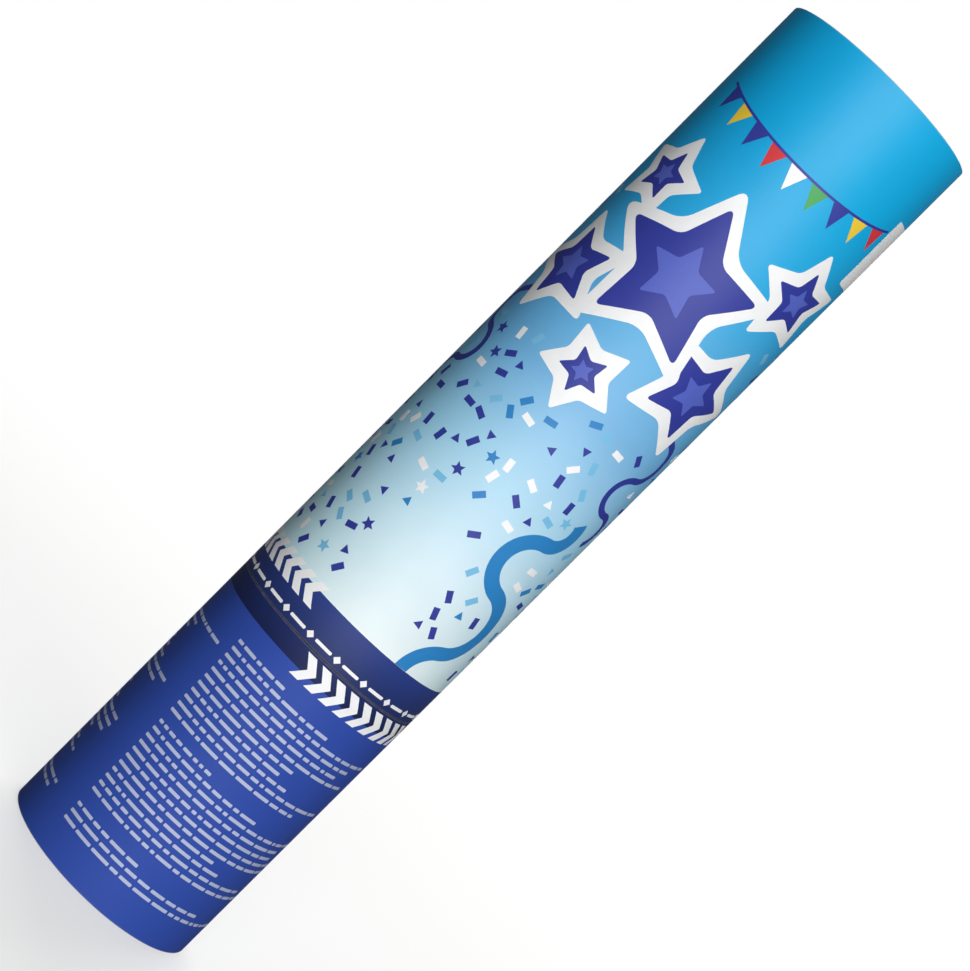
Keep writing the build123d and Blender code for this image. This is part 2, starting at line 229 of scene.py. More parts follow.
level = addNode(greyBoard, "MapRange", {"To Min": board["dark"], "To Max": board["pale"]}, {"Value": fibre})
both = addNode(greyBoard, "Math", {"operation": "MULTIPLY"}, {0: level, 1: glue})
tone = addNode(greyBoard, "HueSaturation", {"Color": linearColour(board["colour"])}, {"Value": both})
bump = addNode(greyBoard, "Bump", {"Strength": 0.5, "Distance": board["relief"] * mm}, {"Height": fibre})
card = addNode(greyBoard, "BsdfPrincipled", {"Roughness": 0.92, "IOR": 1.45, "Specular IOR Level": 0.2},
               {"Base Color": tone, "Normal": bump})
addNode(greyBoard, "OutputMaterial", links={"Surface": card})
print("ink and card made")

# Inner pieces keep their solids and get the finish of their slot: one colour with a faint flow pattern, and
# a grain in the shine, which is drawn coarser than the real one so that it shows.
mouldFlow = {"size": 14.0, "relief": 0.04, "roughSwing": 0.06}
finishes = {
    # satin black with a fine grain
    "black_moulding": {"name": "mouldedBlackStyrene", "colour": "#191A1D", "flow": 0.10, "grain": 0.6,
                       "depth": 0.25, "roughness": 0.42, "shader": {"IOR": 1.59}},
    # clean white, half dull
    "white_moulding": {"name": "mouldedWhiteAbs", "colour": "#E4E4DF", "flow": 0.02, "grain": 0.7,
                       "depth": 0.12, "roughness": 0.38, "shader": {"IOR": 1.54}},
    # strong even blue, half dull
    "blue_moulding": {"name": "mouldedBlueAbs", "colour": "#2450A8", "flow": 0.05, "grain": 0.7,
                      "depth": 0.12, "roughness": 0.36, "shader": {"IOR": 1.54}},
    # glossy and half clear, with the slow waves of a blown wall
    "tank_plastic": {"name": "blownPet", "colour": "#DCE4E8", "flow": 0.02, "grain": 5.0,
                     "depth": 0.10, "roughness": 0.14, "shader": {"IOR": 1.57, "Transmission Weight": 0.55}},
    # yellow metal with the soft sheen of fine turning
    "valve_brass": {"name": "turnedBrass", "colour": "#C9A24D", "flow": 0.05, "grain": 0.3,
                    "depth": 0.20, "roughness": 0.28, "shader": {"Metallic": 1.0}},
    # pale grey metal, brighter than the brass
    "pin_steel": {"name": "groundSteel", "colour": "#C4C6C8", "flow": 0.03, "grain": 0.25,
                  "depth": 0.20, "roughness": 0.24, "shader": {"Metallic": 1.0}},
    # soft black without a clear reflection
    "black_rubber": {"name": "mouldedNitrile", "colour": "#1C1C1C", "flow": 0.08, "grain": 0.4,
                     "depth": 0.30, "roughness": 0.68, "shader": {"IOR": 1.52}},
    # waxy off-white, smooth to the hand
    "slip_plastic": {"name": "mouldedAcetal", "colour": "#EDECE6", "flow": 0.02, "grain": 0.9,
                     "depth": 0.08, "roughness": 0.30, "shader": {"IOR": 1.48}},
}


def mouldedFinish(finish):
    material, place = newMaterial(finish["name"])
    flow = addNode(material, "TexNoise",
                   {"Scale": perMm(mouldFlow["size"]), "Detail": 2.0, "Distortion": 0.8}, {"Vector": place})
    tone = unevenTone(material, finish["colour"], flow, 1 - finish["flow"], 1 + finish["flow"])
    grain = addNode(material, "TexNoise", {"Scale": perMm(finish["grain"]), "Detail": 3.0}, {"Vector": place})
    bump = addNode(material, "Bump", {"Strength": finish["depth"], "Distance": mouldFlow["relief"] * mm},
                   {"Height": grain})
    rough = addNode(material, "MapRange", {"To Min": finish["roughness"] - mouldFlow["roughSwing"],
                                           "To Max": finish["roughness"] + mouldFlow["roughSwing"]},
                    {"Value": grain})
    body = addNode(material, "BsdfPrincipled", finish["shader"],
                   {"Base Color": tone, "Roughness": rough, "Normal": bump})
    addNode(material, "OutputMaterial", links={"Surface": body})
    return material


slotMaterial = {slot: mouldedFinish(finish) for slot, finish in finishes.items()}
slotMaterial["kraft_card"] = greyBoard
for entry in frame["record"]["subparts"]:
    if entry["material_slot"] in slotMaterial:
        solid = frame["nodes"][entry["node"]].data
        solid.materials.clear()
        solid.materials.append(slotMaterial[entry["material_slot"]])
print("inner finishes set")


def addPiece(bm, name, materials, body, replaced=(), sharp=30):
    bmesh.ops.scale(bm, vec=(mm, mm, mm), verts=bm.verts[:])
    bm.normal_update()
    for face in bm.faces:
        face.smooth = True
    for edge in bm.edges:
        edge.smooth = edge.calc_face_angle(0.0) < math.radians(sharp)
    mesh = bpy.data.meshes.new(name)
    bm.to_mesh(mesh)
    bm.free()
    for material in materials:
        mesh.materials.append(material)
    piece = bpy.data.objects.new(name, mesh)
    bpy.context.scene.collection.objects.link(piece)
    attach(piece, body)
    if replaced:
        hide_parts(*replaced)
    return piece


# The outline is (radius, height above the foot) points. It is open where it starts on the axis.
def spinProfile(outline, steps, foot=0.0):
    bm = bmesh.new()
    points = [bm.verts.new((radius, 0.0, foot + height)) for radius, height in outline]
    following = points[1:] if outline[0][0] == 0 else points[1:] + points[:1]
    edges = [bm.edges.new(pair) for pair in zip(points, following)]
    bmesh.ops.spin(bm, geom=points + edges, cent=(0, 0, 0), axis=(0, 0, 1), dvec=(0, 0, 0),
                   angle=fullTurn, steps=steps, use_merge=True)
    bmesh.ops.remove_doubles(bm, verts=bm.verts[:], dist=weld)
    bmesh.ops.recalc_face_normals(bm, faces=bm.faces[:])
    return bm


def pointsOf(geom):
    return [part for part in geom if isinstance(part, bmesh.types.BMVert)]


def cutAcross(bm, place, normal):
    bmesh.ops.bisect_plane(bm, geom=bm.verts[:] + bm.edges[:] + bm.faces[:], dist=nearly,
                           plane_co=place, plane_no=normal)


def thicken(bm, thick):
    raised = bmesh.ops.extrude_face_region(bm, geom=bm.faces[:], use_keep_orig=True)["geom"]
    bmesh.ops.translate(bm, verts=pointsOf(raised), vec=(0, 0, thick))
    bmesh.ops.recalc_face_normals(bm, faces=bm.faces[:])


# Printed wraps: a hair smaller than their solids, so that the ink on them stays within that radius. They go
# on a little past them towards the joint, where they nearly meet. Heights are up the tube from its foot.
wrap = {"under": 0.06, "thick": 0.14, "past": 0.2, "edge": 0.04, "steps": 288, "upperBand": 9.67,
        "lowerBand": 4.88}
barrelFoot, barrelTop, labelRadius = nodeSpan("barrel_label")
handleFoot, handleTop = nodeSpan("handle_label")[:2]
joint = (handleTop + barrelFoot) / 2
wrapRadius = labelRadius - wrap["under"]
wraps = {
    "barrel": {"low": barrelFoot - wrap["past"], "high": barrelTop, "node": "barrel_label",
               "slot": "barrel_print", "paper": "coatedPaperSky", "shineShare": 1.0,
               # the bluer tint is painted cool shade, laid on the paper's sides away from the lit middle
               "leastShadeAt": 20.0, "bluer": "#DBF7FF",
               "band": [(joint, "#1F2E63"), (joint + wrap["upperBand"], "#293E87")],
               "stops": [(joint + wrap["upperBand"], "#F0FBFC"), (105.0, "#DAF1FB"), (125.0, "#B7E1F7"),
                         (148.0, "#82BEE9"), (190.0, "#2FADE4"), (216.0, "#0FADE3")]},
    "handle": {"low": handleFoot, "high": handleTop + wrap["past"], "node": "handle_label",
               "slot": "handle_print", "paper": "coatedPaperRoyal", "shineShare": 0.6,
               "leastShadeAt": 20.0, "bluer": "#FFFFFF",  # white leaves the field even
               "band": [(joint - wrap["lowerBand"], "#1A2452"), (joint, "#1F2E63")],
               "stops": [(handleFoot, "#324FAA"), (joint - wrap["lowerBand"], "#324FAA")]},
}
for body, part in wraps.items():
    low, high, inner, edge = part["low"], part["high"], wrapRadius - wrap["thick"], wrap["edge"]
    label = spinProfile([(inner, low), (wrapRadius - edge, low), (wrapRadius, low + edge),
                         (wrapRadius, high - edge), (wrapRadius - edge, high), (inner, high)], wrap["steps"])
    addPiece(label, body + "Wrap", [printedPaper(part)], body, [part["node"]])
print("printed wraps made")

# Ink is drawn flat, x along the arc from the front and y up the tube, then wrapped round it. Each layer lies
# a little above the one that it covers, and its underside is sunk into the paper.
inkDepth = {"sunk": 0.01, "under": 0.009, "first": 0.026, "second": 0.043}
cutStep = 0.75  # width of the strips that a wide shape is cut into, so that it follows the curve


def addPrint(sheet, depth, name, inkNames, body="barrel"):
    bmesh.ops.triangulate(sheet, faces=[face for face in sheet.faces if len(face.verts) > 4])
    across = [v.co.x for v in sheet.verts]
    for i in range(math.ceil(min(across) / cutStep), math.floor(max(across) / cutStep) + 1):
        cutAcross(sheet, (i * cutStep, 0, 0), (1, 0, 0))
    bmesh.ops.translate(sheet, verts=sheet.verts[:], vec=(0, 0, -inkDepth["sunk"]))
    thicken(sheet, depth + inkDepth["sunk"])
    for v in sheet.verts:
        angle, radius = v.co.x / wrapRadius, wrapRadius + v.co.z
        v.co = (radius * math.sin(angle), -radius * math.cos(angle), v.co.y)
    addPiece(sheet, name, [inks[ink] for ink in inkNames], body)


def setShape(sheet, shape, matrix, ink=0):
    shape.transform(matrix)
    for face in shape.faces:
        face.material_index = ink
    scratch = bpy.data.meshes.new("scratch")
    shape.to_mesh(scratch)
    shape.free()
    sheet.from_mesh(scratch)
    bpy.data.meshes.remove(scratch)


def placed(x, y, turn=0.0, size=(1.0, 1.0)):
    return (Matrix.Translation((x, y, 0)) @ Matrix.Rotation(math.radians(turn), 4, "Z")
            @ Matrix.Diagonal((size[0], size[1], 1, 1)))


def starShape(radius, innerShare, rounding, points=5):
    bm = bmesh.new()
    rim = bmesh.ops.create_circle(bm, cap_ends=True, segments=2 * points, radius=radius)["verts"]
    for v in rim[1::2]:
        v.co *= innerShare
    bmesh.ops.bevel(bm, geom=rim, offset=rounding, affect="VERTICES", segments=4, profile=0.5, material=-1)
    return bm


def chevronShape(height, tip, stroke):
    bm = bmesh.new()
    corners = [bm.verts.new(p) for p in ((tip, height / 2, 0), (0, 0, 0), (tip, -height / 2, 0))]
    edges = [bm.edges.new(pair) for pair in zip(corners, corners[1:])]
    made = bmesh.ops.extrude_edge_only(bm, edges=edges)["geom"]
    bmesh.ops.translate(bm, verts=pointsOf(made), vec=(stroke, 0, 0))
    return bm


def cardShape(width, height, rounding=0.0):
    bm = bmesh.new()
    bmesh.ops.create_grid(bm, x_segments=1, y_segments=1, size=0.5,
                          matrix=Matrix.Diagonal((width, height, 1, 1)))
    if rounding:
        bmesh.ops.bevel(bm, geom=bm.verts[:], offset=rounding, affect="VERTICES", segments=4, profile=0.5,
                        material=-1)
    return bm


def polygonShape(radius, corners):
    bm = bmesh.new()
    bmesh.ops.create_circle(bm, cap_ends=True, segments=corners, radius=radius)
    return bm


# A ribbon of arcs that sets off upwards: each bend is (radius, degrees), positive to the left.
def streamerShape(width, bends, stepDegrees):
    bm = bmesh.new()
    ends = [bm.verts.new((-width / 2, 0, 0)), bm.verts.new((width / 2, 0, 0))]
    last, heading = ends + [bm.edges.new(ends)], 0.0
    for radius, degrees in bends:
        left, right = [v.co for v in pointsOf(last)]
        side = -math.copysign(radius, degrees)
        centre = (left + right) / 2 + Vector((math.cos(heading), math.sin(heading), 0)) * side
        last = bmesh.ops.spin(bm, geom=last, cent=centre, axis=(0, 0, 1), dvec=(0, 0, 0),
                              angle=math.radians(degrees), steps=int(abs(degrees) / stepDegrees))["geom_last"]
        heading += math.radians(degrees)
    bmesh.ops.remove_doubles(bm, verts=bm.verts[:], dist=weld)
    return bm


halfRound = math.pi * wrapRadius  # the print repeats on the back
sides = (0.0, halfRound)

# Arrow rows beside the joint: the upper one points left and rides on the barrel, the lower one points right.
arrowRows = {
    "barrel": {"above": 8.4, "tall": 5.7, "tip": 2.5, "stroke": 2.6,
               "start": -12.7, "pitch": -4.17, "count": 8},
    "handle": {"above": -3.8, "tall": 6.0, "tip": -2.5, "stroke": 2.5,
               "start": 0.95, "pitch": 4.2, "count": 9},
}
for body, row in arrowRows.items():
    sheet = bmesh.new()
    for side in sides:
        for i in range(row["count"]):
            setShape(sheet, chevronShape(row["tall"], row["tip"], row["stroke"]),
                     placed(side + row["start"] + i * row["pitch"], joint + row["above"]))
    addPrint(sheet, inkDepth["first"], body + "Arrows", ["white"], body)

# Row of dashes and lozenges along the barrel's lower edge.
dashRow = {"above": 2.0, "count": 20, "dash": 4.6, "thick": 0.75, "rounding": 0.3, "lozenge": 1.0}
dashPitch = 2 * halfRound / dashRow["count"]
sheet = bmesh.new()
for i in range(dashRow["count"]):
    x, y = i * dashPitch - halfRound, joint + dashRow["above"]
    setShape(sheet, cardShape(dashRow["dash"], dashRow["thick"], dashRow["rounding"]), placed(x, y))
    setShape(sheet, polygonShape(dashRow["lozenge"], 4), placed(x + dashPitch / 2, y))
addPrint(sheet, inkDepth["first"], "barrelDashes", ["white"])
print("arrow bands made")

# Group of outlined stars on the front and the back: small ones behind, a large one in front. A star's place
# is (across, up, radius, turn), and the outline is wider at its tips than in its notches.
stars = {"innerShare": 0.50, "roundingShare": 0.09, "outline": 2.6, "tipShare": 1.9, "notchShare": 1.25,
         "outlineRoundingShare": 1.5, "heartShare": 0.46, "heartRoundingShare": 0.4,
         "layers": [("Outline", "white"), ("Fill", "indigo"), ("Heart", "lightIndigo")]}
starGroups = {
    "behind": {"depths": (0.017, 0.025, 0.033),
               "places": [(19.5, 165.5, 11.0, -14.0), (-23.5, 167.5, 10.0, 22.0), (22.0, 194.5, 8.0, 12.0),
                          (-22.5, 194.5, 6.5, -8.0), (-2.5, 153.0, 5.5, 38.0)]},
    "front": {"depths": (0.041, 0.049, 0.057), "places": [(-2.0, 180.5, 18.5, 6.0)]},
}
for groupName, group in starGroups.items():
    sheets = [bmesh.new() for depth in group["depths"]]
    outlines, fills, hearts = sheets
    for side in sides:
        for x, y, radius, turn in group["places"]:
            where, inner = placed(side + x, y, turn), stars["innerShare"]
            soft = stars["roundingShare"] * radius
            wide = radius + stars["tipShare"] * stars["outline"]
            narrow = (radius * inner + stars["notchShare"] * stars["outline"]) / wide
            setShape(outlines, starShape(wide, narrow, soft * stars["outlineRoundingShare"]), where)
            setShape(fills, starShape(radius, inner, soft), where)
            heart = starShape(radius * stars["heartShare"], inner, soft * stars["heartRoundingShare"])
            setShape(hearts, heart, where)
    for sheet, depth, (layer, ink) in zip(sheets, group["depths"], stars["layers"]):
        addPrint(sheet, depth, groupName + "Star" + layer, [ink])
print("stars made")

# Curled streamers in indigo and mid blue, under the stars and the printed confetti.
streamers = {
    "inks": ["indigo", "midBlue"], "stepDegrees": 6,
    "ribbons": [{"ink": "indigo", "at": (-23.5, 166.0), "turn": 170.0, "width": 1.7,
                 "bends": [(12, -60), (5.5, 150), (5, -175), (4.2, 160)]},
                {"ink": "indigo", "at": (20.0, 164.0), "turn": 190.0, "width": 1.7,
                 "bends": [(12, 60), (5.5, -150), (5, 175), (4.2, -160)]},
                {"ink": "midBlue", "at": (15.5, 81.7), "turn": 0.0, "width": 3.6,
                 "bends": [(8, -72), (9, 152), (7.5, -165), (5, 120)]}],
}
sheet = bmesh.new()
for side in sides:
    for ribbon in streamers["ribbons"]:
        x, y = ribbon["at"]
        setShape(sheet, streamerShape(ribbon["width"], ribbon["bends"], streamers["stepDegrees"]),
                 placed(side + x, y, ribbon["turn"]), streamers["inks"].index(ribbon["ink"]))
ribbonSpots = [(v.co.x, v.co.y) for v in sheet.verts]
addPrint(sheet, inkDepth["under"], "streamers", streamers["inks"])

# Bunting under the muzzle: pennants on a line that droops between its ends. A pennant is a triangle of
# radius 1, 1.5 tall and sqrt(3) wide, stretched to size and hung by its upper edge.
bunting = {"height": 219.0, "half": 27.6, "droop": 5.0, "line": 0.6, "stepDegrees": 1, "wide": 4.6,
           "tall": 5.8,
           "inks": ["indigo", "yellow", "red", "green", "white"],
           "flags": ["indigo", "yellow", "indigo", "red", "white", "green", "indigo", "yellow", "red"]}
half, tall = bunting["half"], bunting["tall"]
bowRadius = (half ** 2 + bunting["droop"] ** 2) / (2 * bunting["droop"])
sweep = math.degrees(2 * math.asin(half / bowRadius))
stretch = (bunting["wide"] / math.sqrt(3), tall / 1.5)
string, flags = bmesh.new(), bmesh.new()
for side in sides:
    setShape(string, streamerShape(bunting["line"], [(bowRadius, sweep)], bunting["stepDegrees"]),
             placed(side - half, bunting["height"], -90 - sweep / 2))
    for i, ink in enumerate(bunting["flags"]):
        x = ((i + 0.5) / len(bunting["flags"]) * 2 - 1) * half
        y = bunting["height"] + bowRadius - bunting["droop"] - math.sqrt(bowRadius ** 2 - x ** 2)
        lean = math.degrees(math.asin(x / bowRadius))
        setShape(flags, polygonShape(1.0, 3), placed(side + x, y - tall / 3, 180 + lean, stretch),
                 bunting["inks"].index(ink))
addPrint(flags, inkDepth["first"], "buntingFlags", bunting["inks"])
addPrint(string, inkDepth["second"], "buntingLine", ["indigo"])

# Bare white panel beside the bunting.
panel = {"x": 37.5, "y": 213.5, "wide": 18.0, "tall": 18.3, "rounding": 0.6}
sheet = bmesh.new()
setShape(sheet, cardShape(panel["wide"], panel["tall"], panel["rounding"]), placed(panel["x"], panel["y"]))
addPrint(sheet, inkDepth["first"], "barePanel", ["white"])
print("streamers and bunting made")

# Printed confetti: slips, triangles and small stars, clear of stars and streamers. They thin out towards the
# pale middle, and none lies on the bare patch low on the front. A star is (radius, inner share, rounding).
scatter = {"seed": 41, "count": 170, "tries": 40, "low": 86.0, "high": 200.0, "apart": 3.7, "offRibbon": 2.7,
           "offStar": 4.5, "starReachShare": 1.2, "bareHalf": 9.0, "bareTop": 112.0,
           "middleShare": 0.15, "sideShare": 0.5, "sideReach": 30.0, "thickFrom": 118.0, "thickOver": 70.0,
           "upperFrom": 160.0, "upperShare": 0.3, "slipShare": 0.6, "triangleShare": 0.25,
           "slip": (2.9, 1.5), "triangle": 1.25, "star": (1.7, 0.45, 0.1),
           "inks": ["indigo", "midBlue", "sky", "white"],
           "picks": ["indigo", "indigo", "midBlue", "sky", "white"]}
starSpots = [spot for group in starGroups.values() for spot in group["places"]]


def apart(one, other):
    across = abs(one[0] - other[0]) % halfRound  # the left edge of the front meets the right edge of the back
    return math.hypot(min(across, halfRound - across), one[1] - other[1])


def isClear(spot):
    offStar, reachShare = scatter["offStar"], scatter["starReachShare"]
    return (all(apart(spot, other) > scatter["apart"] for other in taken)
            and all(apart(spot, other) > scatter["offRibbon"] for other in ribbonSpots)
            and all(apart(spot, star) > reachShare * star[2] + offStar for star in starSpots)
            and (abs(spot[0]) > scatter["bareHalf"] or spot[1] > scatter["bareTop"]))


def crowding(x, y):
    if y >= scatter["upperFrom"]:
        return scatter["upperShare"]
    sideways = scatter["sideShare"] * abs(x) / scatter["sideReach"]
    return scatter["middleShare"] + sideways + max(0.0, (y - scatter["thickFrom"]) / scatter["thickOver"])


draw = random.Random(scatter["seed"])
sheet, taken = bmesh.new(), []
for i in range(scatter["count"]):
    for attempt in range(scatter["tries"]):
        x = draw.uniform(-halfRound / 2, halfRound / 2)
        y = draw.uniform(scatter["low"], scatter["high"])
        if isClear((x, y)) and draw.random() < crowding(x, y):
            break
    else:
        continue
    taken.append((x, y))
    turn, pick, kind = draw.uniform(0, 180), draw.choice(scatter["picks"]), draw.random()
    for side in sides:
        if kind < scatter["slipShare"]:
            shape = cardShape(*scatter["slip"])
        elif kind < scatter["slipShare"] + scatter["triangleShare"]:
            shape = polygonShape(scatter["triangle"], 3)
        else:
            shape = starShape(*scatter["star"])
        setShape(sheet, shape, placed(side + x, y, turn), scatter["inks"].index(pick))
addPrint(sheet, inkDepth["first"], "printedConfetti", scatter["inks"])
print("printed confetti:", len(taken), "a side")

# Paragraphs of fine bars in columns on the handle. The first row of each is a short one.
rows = {"seed": 7, "pitch": 2.05, "thick": 0.78, "short": 1.0, "long": 5.2, "gap": 0.62, "rounding": 0.2,
        "headShares": (0.25, 0.4), "rowShares": (0.55, 1.0),
        "columns": [{"x": -14.5, "wide": 50.0}, {"x": -63.0, "wide": 42.0}, {"x": 44.0, "wide": 42.0}],
        "paragraphs": [(61.4, 11), (37.4, 11), (12.4, 3)]}
draw = random.Random(rows["seed"])
sheet = bmesh.new()
for column in rows["columns"]:
    for top, count in rows["paragraphs"]:
        for i in range(count):
            x, y = column["x"], top - i * rows["pitch"] + rows["thick"] / 2
            end = x + column["wide"] * draw.uniform(*rows["rowShares" if i else "headShares"])
            while x < end:
                wide = draw.uniform(rows["short"], rows["long"])
                setShape(sheet, cardShape(wide, rows["thick"], rows["rounding"]), placed(x + wide / 2, y))
                x += wide + rows["gap"]
addPrint(sheet, inkDepth["first"], "handleRows", ["paleWhite"], "handle")
print("fine rows made")

# Cut edge of the paper where each wrap laps over itself, a hairline down the side.
laps = {"width": 0.12, "depth": 0.05, "short": 0.1, "across": {"barrel": -39.6, "handle": 39.8}}
for body, x in laps["across"].items():
    low, high = wraps[body]["low"], wraps[body]["high"]
    sheet = bmesh.new()
    setShape(sheet, cardShape(laps["width"], high - low - laps["short"]), placed(x, (low + high) / 2))
    addPrint(sheet, laps["depth"], body + "Lap", ["cutEdge"], body)

# Wound card tubes: four plies, each a hair shorter than the solid by its own amount, with nicks between them.
tubes = {"uneven": [0.06, 0.0, 0.09, 0.03], "nick": 0.05, "nickDeep": 0.16, "corner": 0.14, "steps": 192}
for body in wraps:
    low, high, outer = nodeSpan(body + "_tube")
    inner = outer - len(tubes["uneven"]) * board["ply"]
    foot, rim = [], []
    for i, short in enumerate(tubes["uneven"]):
        start, end = inner + i * board["ply"], inner + (i + 1) * board["ply"]
        ends = [(start + tubes["nick"], short), (end - tubes["nick"], short), (end, tubes["nickDeep"])]
        foot += [(radius, low + back) for radius, back in ends]
        rim += [(radius, high - back) for radius, back in ends]
    foot[-1], rim[-1] = (outer, low + tubes["corner"]), (outer, high - tubes["corner"])
    bore = [(inner, high - tubes["corner"]), (inner, low + tubes["corner"])]
    addPiece(spinProfile(foot + rim[::-1] + bore, tubes["steps"]), body + "WoundTube", [greyBoard],
             body, [body + "_tube"])
print("card tubes made")

# Clear PET, thermoformed: water clear with sharp reflections and a slight draw line in the wall.
clearPet, place = newMaterial("thermoformedClearPet")
drawn = addNode(clearPet, "TexNoise", {"Scale": perMm(6.0), "Detail": 1.0}, {"Vector": place})
bump = addNode(clearPet, "Bump", {"Strength": 0.08, "Distance": 0.05 * mm}, {"Height": drawn})
rough = addNode(clearPet, "MapRange", {"To Min": 0.02, "To Max": 0.08}, {"Value": drawn})
sheetPlastic = addNode(clearPet, "BsdfPrincipled",
                       {"Base Color": linearColour("#F4FAFC"), "IOR": 1.57, "Transmission Weight": 1.0},
                       {"Roughness": rough, "Normal": bump})
addNode(clearPet, "OutputMaterial", links={"Surface": sheetPlastic})

# Closing cup in the muzzle: thin floor with a stacking ring, rolled lip. Heights are above the cup's foot.
cup = {"steps": 160, "sharp": 50,
       "outside": [(0, 0.05), (13.6, 0.05), (14.1, 0.15), (14.5, 0.6), (17.1, 0.6), (17.5, 0.15),
                   (18.0, 0.05), (20.7, 0.05), (21.6, 0.25), (22.3, 0.8), (22.65, 1.7), (22.75, 8.0),
                   (22.8, 8.5), (22.65, 8.9), (22.3, 9.0)],
       "inside": [(22.0, 8.85), (21.9, 8.5), (22.15, 8.0), (22.1, 1.9), (21.8, 1.2), (21.3, 0.75),
                  (20.6, 0.6), (18.2, 0.6), (17.8, 0.7), (17.3, 1.15), (14.3, 1.15), (13.8, 0.7),
                  (13.4, 0.6), (0, 0.6)]}
foot = nodeSpan("muzzle_cap")[0]
addPiece(spinProfile(cup["outside"] + cup["inside"], cup["steps"], foot), "muzzleCup", [clearPet],
         "cap", ["muzzle_cap"], cup["sharp"])

# Metallised foil on card: mirror gold, softly crinkled.
goldFoil, place = newMaterial("metallisedGoldFoil")
crinkle = addNode(goldFoil, "TexVoronoi", {"feature": "SMOOTH_F1", "Scale": perMm(3.2)}, {"Vector": place})
ripple = addNode(goldFoil, "TexNoise", {"Scale": perMm(4.5), "Detail": 4.0}, {"Vector": place})
relief = addNode(goldFoil, "Math", {"operation": "MULTIPLY_ADD", 1: 0.5}, {0: crinkle, 2: ripple})
bump = addNode(goldFoil, "Bump", {"Strength": 0.5, "Distance": 0.4 * mm}, {"Height": relief})
rough = addNode(goldFoil, "MapRange", {"To Min": 0.24, "To Max": 0.42}, {"Value": ripple})
foil = addNode(goldFoil, "BsdfPrincipled", {"Base Color": linearColour("#E2B64C"), "Metallic": 1.0},
               {"Roughness": rough, "Normal": bump})
addNode(goldFoil, "OutputMaterial", links={"Surface": foil})

# The tab's foil is lacquered a deeper gold and embossed with fine ribs for the fingers.
tabFoil, place = newMaterial("embossedFoilTab")
waveLength = fullTurn / 20  # of a wave texture at scale 1
ribs = addNode(tabFoil, "TexWave",
               {"bands_direction": "Y", "Scale": perMm(1.1) * waveLength, "Distortion": 0.4},
               {"Vector": place})
worn = addNode(tabFoil, "TexNoise", {"Scale": perMm(2.2), "Detail": 3.0}, {"Vector": place})
tone = unevenTone(tabFoil, "#B97F1F", worn, 0.86, 1.08)
bump = addNode(tabFoil, "Bump", {"Strength": 0.6, "Distance": 0.2 * mm}, {"Height": ribs})
foil = addNode(tabFoil, "BsdfPrincipled", {"Metallic": 1.0, "Roughness": 0.38},
               {"Base Color": tone, "Normal": bump})
addNode(tabFoil, "OutputMaterial", links={"Surface": foil})

# Seal disc with pressed rings, and its tab, lifted a little at the free end. Heights are above its foot.
sealDisc = {"steps": 160, "outline": [(0, 0), (22.6, 0), (22.8, 0.2), (22.75, 0.45), (22.3, 0.6),
                                      (21.2, 0.58), (20.8, 0.42), (20.2, 0.42), (19.8, 0.58), (0, 0.58)],
            "tabLength": 15.0, "tabWidth": 10.0, "tabRounding": 4.9, "tabFront": -21.3, "tabLow": 0.59,
            "tabThick": 0.22, "tabStrips": 8, "lift": 0.3, "liftShare": 0.1}
foot = nodeSpan("gold_seal")[0]
seal = spinProfile(sealDisc["outline"], sealDisc["steps"], foot)
length, strips = sealDisc["tabLength"], sealDisc["tabStrips"]
tab = cardShape(sealDisc["tabWidth"], length, sealDisc["tabRounding"])
bmesh.ops.triangulate(tab, faces=tab.faces[:])
for i in range(1, strips):
    cutAcross(tab, (0, (i / strips - 0.5) * length, 0), (0, 1, 0))
thicken(tab, sealDisc["tabThick"])
for v in tab.verts:
    v.co.z += sealDisc["lift"] * max(0.0, v.co.y / length + sealDisc["liftShare"]) ** 2
setShape(seal, tab, Matrix.Translation((0, sealDisc["tabFront"] + length / 2, foot + sealDisc["tabLow"])), 1)
addPiece(seal, "goldSeal", [goldFoil, tabFoil], "seal", ["gold_seal"])
print("cup and seal made")


# Tissue paper: soft, dull and slightly uneven, with a faint crepe that is drawn coarser than a real one.
def tissue(name, hexCode):
    material, place = newMaterial(name)
    crepe = addNode(material, "TexNoise", {"Scale": perMm(2.0), "Detail": 4.0}, {"Vector": place})
    tone = unevenTone(material, hexCode, crepe, 0.9, 1.08)
    bump = addNode(material, "Bump", {"Strength": 0.3, "Distance": 0.1 * mm}, {"Height": crepe})
    paper = addNode(material, "BsdfPrincipled", {"Roughness": 0.85, "IOR": 1.45, "Specular IOR Level": 0.25},
                    {"Base Color": tone, "Normal": bump})
    addNode(material, "OutputMaterial", links={"Surface": paper})
    return material


tissues = [tissue("tissueSky", "#45B7EA"), tissue("tissuePale", "#C9E0F0"), tissue("tissueSlate", "#8FA9CF")]

# Slips stand in bundles, each one a little waved, its top edge a little out of line. The upper layer is
# turned a quarter round.
bundles = {"seed": 5, "layers": 2, "wide": 19.9, "deep": 10.3, "sideDeep": 9.6, "gap": 0.3, "leaves": 15,
           "leafThick": 0.34, "leafAtShare": 0.65, "wave": 0.09, "waveUp": 0.12, "waveAcross": 0.2,
           "uneven": 1.4, "inset": 0.35, "shiftShare": 0.9, "tissuePicks": (0, 0, 1, 2)}
gap, inset, shiftShare = bundles["gap"], bundles["inset"], bundles["shiftShare"]
foot, top = nodeSpan("confetti_bundles")[:2]
layerTall = (top - foot + gap) / bundles["layers"]
block, blockDeep = (bundles["wide"] + gap) / 2, (bundles["deep"] + gap) / 2
sideAt = bundles["deep"] + 1.5 * gap + bundles["sideDeep"] / 2
spots = [(sx * block, sy * blockDeep, bundles["deep"]) for sx in (-1, 1) for sy in (-1, 1)]
spots += [(0, sy * sideAt, bundles["sideDeep"]) for sy in (-1, 1)]
draw = random.Random(bundles["seed"])
slips = bmesh.new()
